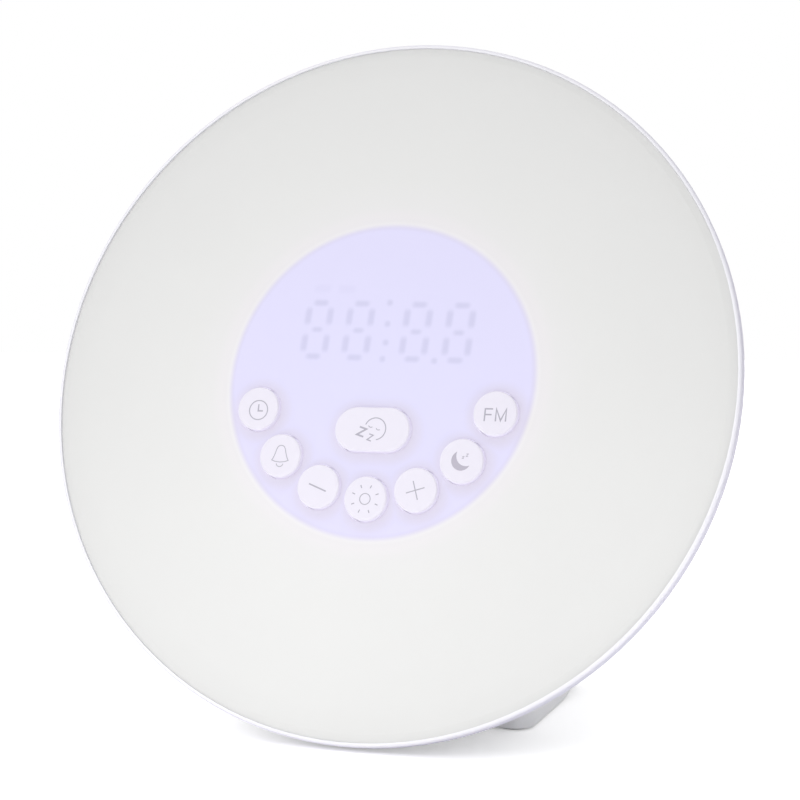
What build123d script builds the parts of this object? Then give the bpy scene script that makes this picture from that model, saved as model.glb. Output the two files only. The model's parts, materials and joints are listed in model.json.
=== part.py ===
from build123d import *
import os
from math import atan2, copysign, cos, degrees, hypot, radians, sin, sqrt

# Sunrise alarm clock: a disc of light that leans back on a speaker pod, which is also its foot.
# Millimetres, +Z up, the face looks to -Y. The origin is on the table, under the middle of the clock.

os.makedirs("parts", exist_ok=True)

# The whole clock
tilt = 16.2                 # angle by which the disc leans back
disc_radius = 85.0
clock_depth = 88.0          # from the rim's front edge to the pod's back
rim_clearance = 0.5         # table to the rim's lowest point

# Rear shell: a dish with a thin rim that holds the front panel
shell_wall = 2.0
lip_width = 1.0
lip_height = 0.25           # the lip stands this far in front of the panel
lip_round = 0.8
rim_depth = 4.0             # straight side wall behind the panel's face
rim_round = 1.2
rim_step = 1.6              # the dish starts this far inside the rim
dish_depth = 22.0           # panel's face to the dish's flat back
back_plate_radius = 62.0

# Front panel and the tape that holds it
panel_thickness = 2.0
panel_clearance = 0.05
panel_bevel_width = 1.8
panel_bevel_drop = 0.2
tape_thickness = 0.15
tape_width = 1.6
tape_inset = 0.1

# Keys
key_radius = 5.27
key_arc_radius = 31.36
key_arc_height = 2.93       # centre of the arc of keys above the disc's centre
key_angles = (0.0, 22.6, 45.8, 70.4)   # from the middle key outwards, alike on both sides
snooze_length = 18.6
snooze_width = 10.6
snooze_drop = 12.0          # snooze key's centre below the disc's centre
key_clearance = 0.2
key_proud = 1.0
key_round = 0.4
key_travel = 0.4
flange_width = 0.7
flange_gap = 0.2
flange_thickness = 1.2
stem_radius = 1.8
stem_length = 2.6

# Key switches on the control board
switch_size = 6.0
switch_height = 3.5
plunger_radius = 1.75
plunger_clearance = 0.05
plunger_height = 1.5        # the plunger's part outside its switch
plunger_overtravel = 0.2

# Light dam: the round chassis that keeps the display's light apart from the sunrise light
dam_margin = 1.3            # inner wall outside the keys and the digits
dam_wall = 2.0
dam_gap = 0.1
dam_ledge_width = 2.3
dam_ledge_thickness = 2.0
dam_tab_reach = 3.7         # tab screws outside the dam's wall
dam_tab_radius = 3.4
dam_tab_thickness = 2.0
dam_boss_height = 3.0
dam_screw_angles = (30.0, 150.0, 270.0)

# Control board, its fixings and what it carries
board_thickness = 1.6
control_board_clearance = 0.3
lug_inset = 3.8
lug_radius = 3.0
lug_gap = 1.4               # end of a lug to the dish
board_screw_angles = (90.0, 232.0, 308.0)
module_length = 50.3
module_height = 19.0
module_depth = 8.0
module_rise = 12.0          # digit module's centre above the disc's centre
backlight_length = 2.0
backlight_width = 1.2
backlight_height = 0.8
backlight_offset = 6.0
chip_height = 1.0
control_chip_size = 9.0
control_chip_place = (8.0, 10.0)
driver_chip_size = 5.0
driver_chip_place = (-8.0, 14.0)
resistor_length = 2.0
resistor_width = 1.25
resistor_places = ((10.0, -8.0), (14.0, -8.0))

# Digits: each segment is a thin slab on the module's face
digit_places = (-17.9, -7.25, 7.25, 17.9)
segment_length = 4.2
segment_width = 1.0
segment_thickness = 0.3
digit_width = 5.6
digit_height = 13.3
colon_spacing = 4.6
dot_radius = 0.5

# Ring board with the sunrise LEDs
ring_board_gap = 1.1        # from the light dam's tabs
ring_board_width = 18.0
ring_screw_angles = (0.0, 90.0, 180.0, 270.0)
ring_boss_height = 3.4
ring_boss_radius = 3.0
ring_led_count = 24
ring_led_size = 5.0
ring_led_height = 1.6

# Screws
screw_radius = 1.2
screw_clearance = 0.05
screw_head_radius = 2.4
screw_head_height = 1.5
screw_tip_gap = 0.4
slot_width = 0.6
slot_depth = 0.6
head_relief = 0.3           # room round a screw head where it passes a wall

# Pod: an arch, open to the dish in front and closed by the back cover
pod_half_width = 35.0
pod_arch_height = 76.0      # centre of the arch above the table
pod_setback = 8.0           # disc's centre to the pod's front wall
pod_wall = 2.0
pod_floor = 2.5
pod_lift = 0.4              # table to the pod's floor
pod_back_rise = 4.0         # the underside slopes up to the back cover by this much
pod_slope_run = 20.5        # from where the slope starts to the back cover
pod_front_round = 5.0
pod_bottom_round = 0.5
pod_boss_radius = 3.6
pod_boss_length = 10.0
pod_boss_inset = 3.4        # boss centre inside the pod's inner wall
pod_screw_inset = 5.0       # low screws inside the pod's side
pod_screw_drop = 14.0       # and below the disc's centre
pod_arch_screw_inset = 3.8
pod_arch_screw_angle = 41.0
cable_slot_length = 16.0
cable_slot_width = 8.0

# Rubber feet
foot_radius = 4.0
foot_recess = 0.6
foot_clearance = 0.05
foot_edge = 5.5             # foot's centre inside the pod's side
foot_front_edge = 5.5
foot_slope_edge = 5.5       # and in front of the slope

# Back cover
cover_thickness = 2.5
cover_round = 1.0
cover_lip_height = 3.0
cover_lip_wall = 1.6
cover_lip_clearance = 0.2
cover_arch_screw_angle = 60.0
cover_low_screw_height = 10.6  # low screws above the pod's floor underside
grille_hole_radius = 1.0
grille_ring_pitch = 5.0
grille_rings = 4
cover_screw_recess = 1.6
cover_post_hole = 1.5       # depth of the speaker screws' holes in the cover

# Battery compartment and its hinged door
battery_x = 8.0
cell_radius = 10.0
cell_thickness = 3.2
cell_play = 0.8
cell_door_gap = 0.3
compartment_wall = 1.2
compartment_floor = 1.2
contact_room = 0.9
contact_thickness = 0.3
contact_length = 14.0
contact_width = 6.0
contact_gap = 0.1
side_contact_width = 3.0
side_contact_gap = 0.2
contact_dome_radius = 1.5
door_width = 28.0
door_height = 30.0
door_thickness = 1.8
door_lift = 10.6            # pod's floor underside to the door's hinge axis
door_gap = 0.15
hinge_radius = 0.6
hinge_clearance = 0.05
hinge_length = 1.0
finger_notch_radius = 4.0
finger_notch_depth = 1.2

# Power and radio board
io_x = -16.0
io_width = 18.0
io_length = 28.0
io_back_gap = 0.5           # board's edge to the back cover
io_boss_height = 6.5
io_boss_radius = 2.4
io_screw_inset = 2.7
io_back_screw_inset = 8.0
io_screw_depth = 4.1        # screws into the bosses
tuner_chip_size = 5.0
tuner_chip_place = (-4.0, 15.0)    # from the board's centre line and front edge
amplifier_chip_size = 3.6
amplifier_chip_place = (0.0, 20.0)
socket_width = 8.9
socket_height = 3.2
socket_length = 7.4
socket_wall = 0.35
socket_clearance = 0.3
socket_recess = 1.0         # the socket's mouth inside the cover's back
socket_floor = 1.0
tongue_width = 6.6
tongue_thickness = 0.7
tongue_length = 4.4

# Antenna grommet
grommet_height = 27.0
grommet_neck_radius = 2.5
grommet_flange = 1.0
grommet_bore = 0.8
grommet_flange_thickness = 0.8
grommet_clearance = 0.05

# Loudspeaker, on the pod's arch centre, facing back
speaker_radius = 22.5
speaker_flange_thickness = 1.5
speaker_depth = 12.0        # flange's front to the basket's back
basket_ring = 3.5           # flange's width
basket_step = 3.0           # depth of the basket's straight part
basket_wall = 1.0
basket_back_radius = 14.0
basket_opening = 8.0
ear_reach = 2.4             # ear screws outside the flange
ear_radius = 2.9
ear_angles = (45.0, 135.0, 225.0, 315.0)
gasket_thickness = 1.2
gasket_width = 1.9
gasket_clearance = 0.1
surround_roll = 1.2
surround_foot = 1.5
surround_inner_foot = 0.9
surround_thickness = 0.3
surround_gap = 0.1
cone_gap = 0.2
cone_thickness = 0.4
dust_cap_radius = 7.4
dust_cap_rise = 2.1
cone_neck_radius = 7.0
cone_depth = 7.0
coil_gap = 0.1              # voice coil inside the cone's neck
coil_wall = 0.5
coil_length = 7.0
coil_clearance = 0.3
magnet_radius = 16.0
magnet_inner_radius = 8.0
magnet_thickness = 6.0
magnet_plate = 2.0
terminal_width = 8.0
terminal_length = 6.0

# Cables
ribbon_width = 12.0
ribbon_thickness = 0.6
ribbon_bend = 8.0
ribbon_drop = 12.0          # ribbon's header below the disc's centre
ribbon_io_inset = 9.0       # and behind the power board's front edge
header_width = 14.0
header_depth = 5.0
header_height = 4.0
lead_header_width = 6.0
lead_header_depth = 3.0
lead_header_x = 3.0         # from the power board's centre line
lead_header_inset = 15.5    # behind its front edge
lead_radius = 0.6
lead_spacing = 2.4
lead_bend = 5.0
lead_rise = 20.0
lead_drop = 11.0
battery_header_x = 7.0      # from the power board's centre line
battery_header_inset = 2.6  # header's centre in front of the board's back edge
battery_header_length = 5.0
battery_lead_spacing = 2.0
battery_lead_bend = 3.0
ring_cable_angle = 60.0
ring_cable_width = 6.0
ring_cable_bend = 1.2
ring_cable_gap = 1.5        # cable to the dish's back plate
ring_cable_clearance = 0.5  # cable to the notch in the light dam
ring_cable_reach = 5.0      # cable's end inside the ring board's inner edge
ring_header_inset = 6.7     # header's centre inside the light dam's wall
ring_header_width = 8.0
ring_header_height = 2.5

# The disc's own frame: x to the right, y up the face, z out of the face towards the user.
# "Depth" is measured from the panel's face into the clock.
tilt_sin, tilt_cos = sin(radians(tilt)), cos(radians(tilt))
lip_front = (disc_radius - lip_round) * tilt_sin - (lip_round - lip_height) * tilt_cos + lip_round
face_y = lip_front - clock_depth / 2
rim_low = (disc_radius - rim_round) * tilt_cos + (rim_depth - rim_round) * tilt_sin + rim_round
face_height = rim_low + rim_clearance
face_centre = Vector(0, face_y, face_height)
face_normal = Vector(0, -tilt_cos, tilt_sin)
face_plane = Plane(origin=face_centre, x_dir=(1, 0, 0), z_dir=face_normal)
face_axis = Axis(face_centre, face_normal)
# Section plane for turned pieces of the disc: a point is (radius, -depth).
section_plane = Plane(origin=face_centre, x_dir=(1, 0, 0), z_dir=(0, -tilt_sin, -tilt_cos))

# Key places in the disc's plane. The arc is numbered from the middle key outwards.
arc_keys = {"clock": -3, "bell": -2, "minus": -1, "sun": 0, "plus": 1, "moon": 2, "radio": 3}
key_places = {
    name: (
        copysign(key_arc_radius * sin(radians(key_angles[abs(step)])), step),
        key_arc_height - key_arc_radius * cos(radians(key_angles[abs(step)])),
    )
    for name, step in arc_keys.items()
}
key_places["snooze"] = (0.0, -snooze_drop)

# Depths and radii that follow from the sizes above
ledge_depth = panel_thickness + tape_thickness
pocket_radius = disc_radius - lip_width
plate_front = dish_depth - shell_wall
dish_run = disc_radius - rim_step - back_plate_radius
dish_rise = dish_depth - rim_depth
bowl_radius = (dish_run**2 + dish_rise**2) / (2 * dish_rise)
bowl_centre = dish_depth - bowl_radius
ledge_radius = back_plate_radius + sqrt((bowl_radius - shell_wall) ** 2 - (ledge_depth - bowl_centre) ** 2)
flange_depth = panel_thickness + flange_gap
stem_depth = flange_depth + flange_thickness
plunger_depth = stem_depth + stem_length
switch_depth = plunger_depth + plunger_height
board_front = switch_depth + switch_height
board_back = board_front + board_thickness
key_reach = max(hypot(x, y) for x, y in key_places.values()) + key_radius + flange_width
module_reach = hypot(module_length / 2, module_rise + module_height / 2)
dam_radius = max(key_reach, module_reach) + dam_margin
dam_front = panel_thickness + dam_gap
dam_outer = dam_radius + dam_wall
dam_boss_front = plate_front - dam_boss_height
dam_tab_front = dam_boss_front - dam_tab_thickness
dam_screw_radius = dam_outer + dam_tab_reach
lug_circle = dam_radius - lug_inset
lug_length = plate_front - board_back - lug_gap
ring_board_inner = dam_screw_radius + dam_tab_radius + ring_board_gap
ring_board_outer = ring_board_inner + ring_board_width
ring_screw_radius = (ring_board_inner + ring_board_outer) / 2
ring_board_back = plate_front - ring_boss_height
ring_board_front = ring_board_back - board_thickness
ring_cable_depth = plate_front - ring_cable_gap - ribbon_thickness / 2

# Pod faces
cover_back = clock_depth / 2
cover_front = cover_back - cover_thickness
pod_front = face_y + pod_setback
pod_base = pod_lift + pod_floor
slope_front = cover_front - pod_slope_run
pod_inner = pod_half_width - pod_wall
boss_circle = pod_inner - pod_boss_inset


def at_depth(depth):
    return face_plane.offset(-depth)


def on_circle(radius, angles):
    return [(radius * cos(radians(angle)), radius * sin(radians(angle))) for angle in angles]


def both_sides(places):
    return [(side * x, y) for x, y in places for side in (-1, 1)]


def finish(builder, name):
    builder.part.label = name
    export_step(builder.part, f"parts/{name}.step")


# A slotted screw stands on the plane where its head meets the piece that it holds, with the head
# on the plane's positive side and the shank on its negative side.
def screw_set(plane, places, shank_length):
    with BuildPart() as screws:
        with BuildSketch(plane):
            with Locations(*places):
                Circle(screw_head_radius)
        extrude(amount=screw_head_height)
        with BuildSketch(plane):
            with Locations(*places):
                Circle(screw_radius)
        extrude(amount=-shank_length)
        with BuildSketch(plane.offset(screw_head_height)):
            with Locations(*places):
                Rectangle(2 * screw_head_radius, slot_width)
        extrude(amount=-slot_depth, mode=Mode.SUBTRACT)
    return screws


def key_outline(name, growth=0.0):
    if name == "snooze":
        SlotOverall(snooze_length + 2 * growth, snooze_width + 2 * growth)
    else:
        Circle(key_radius + growth)


# The pod's arch, with straight sides under a half circle, smaller by inset and with its base
# raised by floor
def arch_outline(inset=0.0, floor=0.0, mode=Mode.ADD):
    radius = pod_half_width - inset
    base = pod_lift + floor
    with BuildLine() as outline:
        Polyline((-radius, pod_arch_height), (-radius, base), (radius, base), (radius, pod_arch_height))
        CenterArc((0, pod_arch_height), radius, 0, 180)
    make_face(outline.edges(), mode=mode)


# What lies under the sloping back part of the pod's underside, or of its floor
def under_slope(floor=0.0):
    base = pod_lift + floor
    rise = pod_back_rise * (cover_back - slope_front) / pod_slope_run
    with BuildPart() as wedge:
        with BuildSketch(Plane.YZ):
            with BuildLine():
                Polyline(
                    (slope_front, base),
                    (cover_back, base + rise),
                    (cover_back, base - pod_floor),
                    (slope_front, base - pod_floor),
                    close=True,
                )
            make_face()
        extrude(amount=pod_half_width, both=True)
    return wedge.part


# Upright planes across the clock: x runs to the right, y up and z towards the front
def upright(y):
    return Plane(origin=(0, y, 0), x_dir=(1, 0, 0), z_dir=(0, -1, 0))


# The same from behind: x runs to the left, y up and z towards the back
def upright_behind(y):
    return Plane(origin=(0, y, 0), x_dir=(-1, 0, 0), z_dir=(0, 1, 0))


# Rear shell

dam_screw_places = on_circle(dam_screw_radius, dam_screw_angles)
ring_screw_places = on_circle(ring_screw_radius, ring_screw_angles)
arch_screw_circle = pod_half_width - pod_arch_screw_inset
arch_screw_z = pod_arch_height + arch_screw_circle * sin(radians(pod_arch_screw_angle))
back_centre_z = face_height - dish_depth * tilt_sin
pod_screw_places = both_sides(
    [
        (pod_half_width - pod_screw_inset, -pod_screw_drop),
        (
            arch_screw_circle * cos(radians(pod_arch_screw_angle)),
            (arch_screw_z - back_centre_z) / tilt_cos,
        ),
    ]
)
cable_slot_place = (io_x, -ribbon_drop)

with BuildPart() as rear_shell:
    with BuildSketch(section_plane) as shell_section:
        with BuildLine():
            inner_radius = bowl_radius - shell_wall
            outer_turn = 90 + degrees(atan2(bowl_centre - rim_depth, dish_run))
            inner_turn = 90 + degrees(atan2(bowl_centre - ledge_depth, ledge_radius - back_plate_radius))
            centre = (back_plate_radius, -bowl_centre)
            CenterArc(centre, bowl_radius, -90, outer_turn)
            CenterArc(centre, inner_radius, -90, inner_turn)
            Polyline(
                (ledge_radius, -ledge_depth),
                (pocket_radius, -ledge_depth),
                (pocket_radius, lip_height),
                (disc_radius, lip_height),
                (disc_radius, -rim_depth),
                (disc_radius - rim_step, -rim_depth),
            )
            Polyline(
                (back_plate_radius, -plate_front),
                (0, -plate_front),
                (0, -dish_depth),
                (back_plate_radius, -dish_depth),
            )
        make_face()
        rim_corners = shell_section.vertices().group_by(Axis.X)[-1].sort_by(Axis.Y)
        fillet(rim_corners[-1], lip_round)
        fillet(shell_section.vertices().group_by(Axis.X)[-1].sort_by(Axis.Y)[0], rim_round)
    revolve(axis=face_axis)
    with BuildSketch(at_depth(plate_front)):
        with Locations(*dam_screw_places):
            Circle(dam_tab_radius)
    extrude(amount=dam_boss_height)
    with BuildSketch(at_depth(plate_front)):
        with Locations(*ring_screw_places):
            Circle(ring_boss_radius)
    extrude(amount=ring_boss_height)
    with BuildSketch(at_depth(dam_boss_front)):
        with Locations(*dam_screw_places):
            Circle(screw_radius + screw_clearance)
    extrude(amount=-dam_boss_height, mode=Mode.SUBTRACT)
    with BuildSketch(at_depth(ring_board_back)):
        with Locations(*ring_screw_places):
            Circle(screw_radius + screw_clearance)
    extrude(amount=-ring_boss_height, mode=Mode.SUBTRACT)
    with BuildSketch(at_depth(plate_front)):
        with Locations(*pod_screw_places):
            Circle(screw_radius + screw_clearance)
        with Locations(cable_slot_place):
            Rectangle(cable_slot_length, cable_slot_width)
    extrude(amount=-shell_wall, mode=Mode.SUBTRACT)
finish(rear_shell, "rear_shell")

# Front panel with a window for each key

with BuildPart() as front_panel:
    with BuildSketch(section_plane):
        with BuildLine():
            panel_radius = pocket_radius - panel_clearance
            Polyline(
                (0, 0),
                (panel_radius - panel_bevel_width, 0),
                (panel_radius, -panel_bevel_drop),
                (panel_radius, -panel_thickness),
                (0, -panel_thickness),
                close=True,
            )
        make_face()
    revolve(axis=face_axis)
    for name, place in key_places.items():
        with BuildSketch(face_plane):
            with Locations(place):
                key_outline(name, key_clearance)
        extrude(amount=-panel_thickness, mode=Mode.SUBTRACT)
finish(front_panel, "front_panel")

with BuildPart() as panel_tape:
    with BuildSketch(at_depth(panel_thickness)):
        tape_outer = pocket_radius - panel_clearance - tape_inset
        Circle(tape_outer)
        Circle(tape_outer - tape_width, mode=Mode.SUBTRACT)
    extrude(amount=-tape_thickness)
finish(panel_tape, "panel_tape")

# Keys: cap, retaining flange behind the panel, and a stem down to the switch

for name, place in key_places.items():
    with BuildPart() as key:
        with BuildSketch(at_depth(-key_proud)):
            with Locations(place):
                key_outline(name)
        extrude(amount=-(key_proud + flange_depth))
        fillet(key.faces().sort_by(face_axis)[-1].edges(), key_round)
        with BuildSketch(at_depth(flange_depth)):
            with Locations(place):
                key_outline(name, flange_width)
        extrude(amount=-flange_thickness)
        with BuildSketch(at_depth(stem_depth)):
            with Locations(place):
                Circle(stem_radius)
        extrude(amount=-stem_length)
    finish(key, f"key_{name}")

    with BuildPart() as plunger:
        with BuildSketch(at_depth(plunger_depth)):
            with Locations(place):
                Circle(plunger_radius)
        extrude(amount=-(plunger_height + key_travel + plunger_overtravel))
    finish(plunger, f"plunger_{name}")

with BuildPart() as key_switches:
    with BuildSketch(at_depth(switch_depth)):
        with Locations(*key_places.values()):
            Rectangle(switch_size, switch_size)
    extrude(amount=-switch_height)
    with BuildSketch(at_depth(switch_depth)):
        with Locations(*key_places.values()):
            Circle(plunger_radius + plunger_clearance)
    extrude(amount=-(2 * key_travel + 2 * plunger_overtravel), mode=Mode.SUBTRACT)
finish(key_switches, "key_switches")

# Light dam: a ring with a ledge and three lugs for the control board, and three tabs outside

lug_places = on_circle(lug_circle, board_screw_angles)

with BuildPart() as light_dam:
    with BuildSketch(at_depth(dam_front)):
        Circle(dam_outer)
        Circle(dam_radius, mode=Mode.SUBTRACT)
    extrude(amount=-(plate_front - dam_front))
    with BuildSketch(at_depth(board_back)):
        Circle(dam_radius)
        Circle(dam_radius - dam_ledge_width, mode=Mode.SUBTRACT)
    extrude(amount=-dam_ledge_thickness)
    with BuildSketch(at_depth(board_back)):
        with Locations(*lug_places):
            Circle(lug_radius)
    extrude(amount=-lug_length)
    with BuildSketch(at_depth(dam_tab_front)):
        with Locations(*dam_screw_places):
            Circle(dam_tab_radius)
        for angle in dam_screw_angles:
            with Locations(*on_circle(dam_screw_radius - dam_tab_reach / 2, (angle,))):
                Rectangle(dam_tab_reach + dam_wall, 2 * dam_tab_radius, rotation=angle)
        Circle(dam_radius, mode=Mode.SUBTRACT)
    extrude(amount=-dam_tab_thickness)
    with BuildSketch(at_depth(board_back)):
        with Locations(*lug_places):
            Circle(screw_radius + screw_clearance)
    extrude(amount=-lug_length, mode=Mode.SUBTRACT)
    with BuildSketch(at_depth(dam_tab_front)):
        with Locations(*dam_screw_places):
            Circle(screw_radius + screw_clearance)
    extrude(amount=-dam_tab_thickness, mode=Mode.SUBTRACT)
    with BuildSketch(at_depth(plate_front)):
        with Locations(*pod_screw_places):
            Circle(screw_head_radius + head_relief)
    extrude(amount=screw_head_height + head_relief, mode=Mode.SUBTRACT)
    with BuildSketch(at_depth(plate_front)):
        with Locations(*on_circle(dam_radius + dam_wall / 2, (ring_cable_angle,))):
            Rectangle(
                2 * dam_wall, ring_cable_width + 2 * ring_cable_clearance, rotation=ring_cable_angle
            )
    extrude(amount=ring_cable_gap + ribbon_thickness + ring_cable_clearance, mode=Mode.SUBTRACT)
finish(light_dam, "light_dam")

dam_screws = screw_set(
    at_depth(dam_tab_front), dam_screw_places, dam_tab_thickness + dam_boss_height - screw_tip_gap
)
finish(dam_screws, "light_dam_screws")

# Control board and its parts

with BuildPart() as control_board:
    with BuildSketch(at_depth(board_front)):
        Circle(dam_radius - control_board_clearance)
        with Locations(*lug_places):
            Circle(screw_radius + screw_clearance, mode=Mode.SUBTRACT)
    extrude(amount=-board_thickness)
finish(control_board, "control_board")

board_screws = screw_set(at_depth(board_front), lug_places, board_thickness + lug_length - screw_tip_gap)
finish(board_screws, "control_board_screws")

with BuildPart() as digit_module:
    with BuildSketch(at_depth(board_front)):
        with Locations((0, module_rise)):
            RectangleRounded(module_length, module_height, 1.0)
    extrude(amount=module_depth)
finish(digit_module, "digit_module")

module_front = board_front - module_depth

with BuildPart() as digit_segments:
    half_width, half_height = digit_width / 2, digit_height / 2
    with BuildSketch(at_depth(module_front)):
        for x in digit_places:
            with Locations(*[(x, module_rise + rise) for rise in (-half_height, 0, half_height)]):
                Rectangle(segment_length, segment_width)
            corners = [
                (x + side * half_width, module_rise + level * half_height / 2)
                for side in (-1, 1)
                for level in (-1, 1)
            ]
            with Locations(*corners):
                Rectangle(segment_width, segment_length)
        with Locations((0, module_rise - colon_spacing / 2), (0, module_rise + colon_spacing / 2)):
            Circle(dot_radius)
    extrude(amount=segment_thickness)
finish(digit_segments, "digit_segments")

backlight_places = []
for name, (x, y) in key_places.items():
    if name == "snooze":
        backlight_places += [(x - backlight_offset, y), (x + backlight_offset, y)]
    else:
        reach = hypot(x, y - key_arc_height)
        share = (reach - backlight_offset) / reach
        backlight_places.append((x * share, key_arc_height + (y - key_arc_height) * share))

with BuildPart() as backlight_leds:
    with BuildSketch(at_depth(board_front)):
        with Locations(*backlight_places):
            Rectangle(backlight_length, backlight_width)
    extrude(amount=backlight_height)
finish(backlight_leds, "backlight_leds")

with BuildPart() as control_chips:
    with BuildSketch(at_depth(board_back)):
        with Locations(control_chip_place):
            Rectangle(control_chip_size, control_chip_size)
        with Locations(driver_chip_place):
            Rectangle(driver_chip_size, driver_chip_size)
        with Locations(*resistor_places):
            Rectangle(resistor_length, resistor_width)
    extrude(amount=-chip_height)
finish(control_chips, "control_chips")

# Ring board with the sunrise LEDs

with BuildPart() as ring_board:
    with BuildSketch(at_depth(ring_board_front)):
        Circle(ring_board_outer)
        Circle(ring_board_inner, mode=Mode.SUBTRACT)
        with Locations(*ring_screw_places):
            Circle(screw_radius + screw_clearance, mode=Mode.SUBTRACT)
    extrude(amount=-board_thickness)
finish(ring_board, "ring_board")

with BuildPart() as sunrise_leds:
    with BuildSketch(at_depth(ring_board_front)):
        with PolarLocations(ring_screw_radius, ring_led_count, start_angle=180 / ring_led_count):
            Rectangle(ring_led_size, ring_led_size)
    extrude(amount=ring_led_height)
finish(sunrise_leds, "sunrise_leds")

ring_screws = screw_set(
    at_depth(ring_board_front), ring_screw_places, board_thickness + ring_boss_height - screw_tip_gap
)
finish(ring_screws, "ring_board_screws")

# Pod shell

dish_back = at_depth(dish_depth)
low_screw_z = pod_lift + cover_low_screw_height
cover_screw_places = both_sides(
    [
        (boss_circle, low_screw_z),
        (
            boss_circle * cos(radians(cover_arch_screw_angle)),
            pod_arch_height + boss_circle * sin(radians(cover_arch_screw_angle)),
        ),
    ]
)
foot_places = [
    (side * (pod_half_width - foot_edge), y)
    for side in (-1, 1)
    for y in (pod_front + foot_front_edge, slope_front - foot_slope_edge)
]
io_back = cover_front - io_back_gap
io_front = io_back - io_length
io_screw_x = io_width / 2 - io_screw_inset
io_screw_places = [
    (io_x + side * io_screw_x, y)
    for side in (-1, 1)
    for y in (io_front + io_screw_inset, io_back - io_back_screw_inset)
]
io_board_base = pod_base + io_boss_height

with BuildPart() as pod_block:
    with BuildSketch(upright(pod_front)):
        arch_outline()
    extrude(amount=-(cover_front - pod_front))
    fillet(pod_block.edges().filter_by(Axis.Z).group_by(Axis.Y)[0], pod_front_round)
    fillet(pod_block.faces().sort_by(Axis.Z)[0].edges().sort_by(Axis.Y)[:-1], pod_bottom_round)
    add(under_slope(), mode=Mode.SUBTRACT)

with BuildPart() as pod_cavity:
    with BuildSketch(upright(pod_front + pod_wall)):
        arch_outline(pod_wall, pod_floor)
    extrude(amount=-(cover_front - pod_front))
    fillet(pod_cavity.edges().filter_by(Axis.Z).group_by(Axis.Y)[0], pod_front_round - pod_wall)
    add(under_slope(pod_floor), mode=Mode.SUBTRACT)

with BuildPart() as pod_shell:
    add(pod_block.part)
    add(pod_cavity.part, mode=Mode.SUBTRACT)
    with BuildSketch(upright(cover_front)):
        with Locations(*cover_screw_places):
            Circle(pod_boss_radius)
    extrude(amount=pod_boss_length)
    with BuildSketch(dish_back):
        with Locations(*pod_screw_places):
            Circle(pod_boss_radius)
    extrude(amount=-pod_boss_length)
    with BuildSketch(Plane.XY.offset(pod_base)):
        with Locations(*io_screw_places):
            Circle(io_boss_radius)
    extrude(amount=io_boss_height)
    add(pod_block.part, mode=Mode.INTERSECT)
    split(bisect_by=dish_back, keep=Keep.BOTTOM)
    with BuildSketch(upright(cover_front)):
        with Locations(*cover_screw_places):
            Circle(screw_radius + screw_clearance)
    extrude(amount=pod_boss_length - pod_wall, mode=Mode.SUBTRACT)
    with BuildSketch(dish_back):
        with Locations(*pod_screw_places):
            Circle(screw_radius + screw_clearance)
    extrude(amount=-(pod_boss_length - pod_wall), mode=Mode.SUBTRACT)
    with BuildSketch(Plane.XY.offset(io_board_base)):
        with Locations(*io_screw_places):
            Circle(screw_radius + screw_clearance)
    extrude(amount=-io_screw_depth - screw_tip_gap, mode=Mode.SUBTRACT)
    with BuildSketch(Plane.XY.offset(pod_lift)):
        with Locations(*foot_places):
            Circle(foot_radius + foot_clearance)
    extrude(amount=foot_recess, mode=Mode.SUBTRACT)
finish(pod_shell, "pod_shell")

pod_fixings = screw_set(
    at_depth(plate_front), pod_screw_places, shell_wall + pod_boss_length - pod_wall - screw_tip_gap
)
finish(pod_fixings, "pod_screws")

with BuildPart() as rubber_feet:
    with BuildSketch(Plane.XY):
        with Locations(*foot_places):
            Circle(foot_radius)
    extrude(amount=pod_lift + foot_recess)
finish(rubber_feet, "rubber_feet")

# Back cover: sound grille, battery compartment, power opening and grommet hole

hinge_y = cover_back - door_thickness / 2
hinge_z = pod_lift + door_lift
door_back = cover_back - door_thickness
door_pocket = door_back - door_gap
door_low = hinge_z - door_thickness / 2
cell_z = door_low + door_height / 2
cell_back = door_back - cell_door_gap
cell_front = cell_back - cell_thickness
compartment_radius = cell_radius + cell_play
compartment_bottom = cell_front - contact_room
socket_z = io_board_base + board_thickness + socket_height / 2
ear_places = [(x, pod_arch_height + z) for x, z in on_circle(speaker_radius + ear_reach, ear_angles)]
grille_places = [(0, pod_arch_height)]
for ring in range(1, grille_rings + 1):
    ring_angles = [60 * step / ring for step in range(6 * ring)]
    grille_places += [
        (x, pod_arch_height + z) for x, z in on_circle(ring * grille_ring_pitch, ring_angles)
    ]

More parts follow.
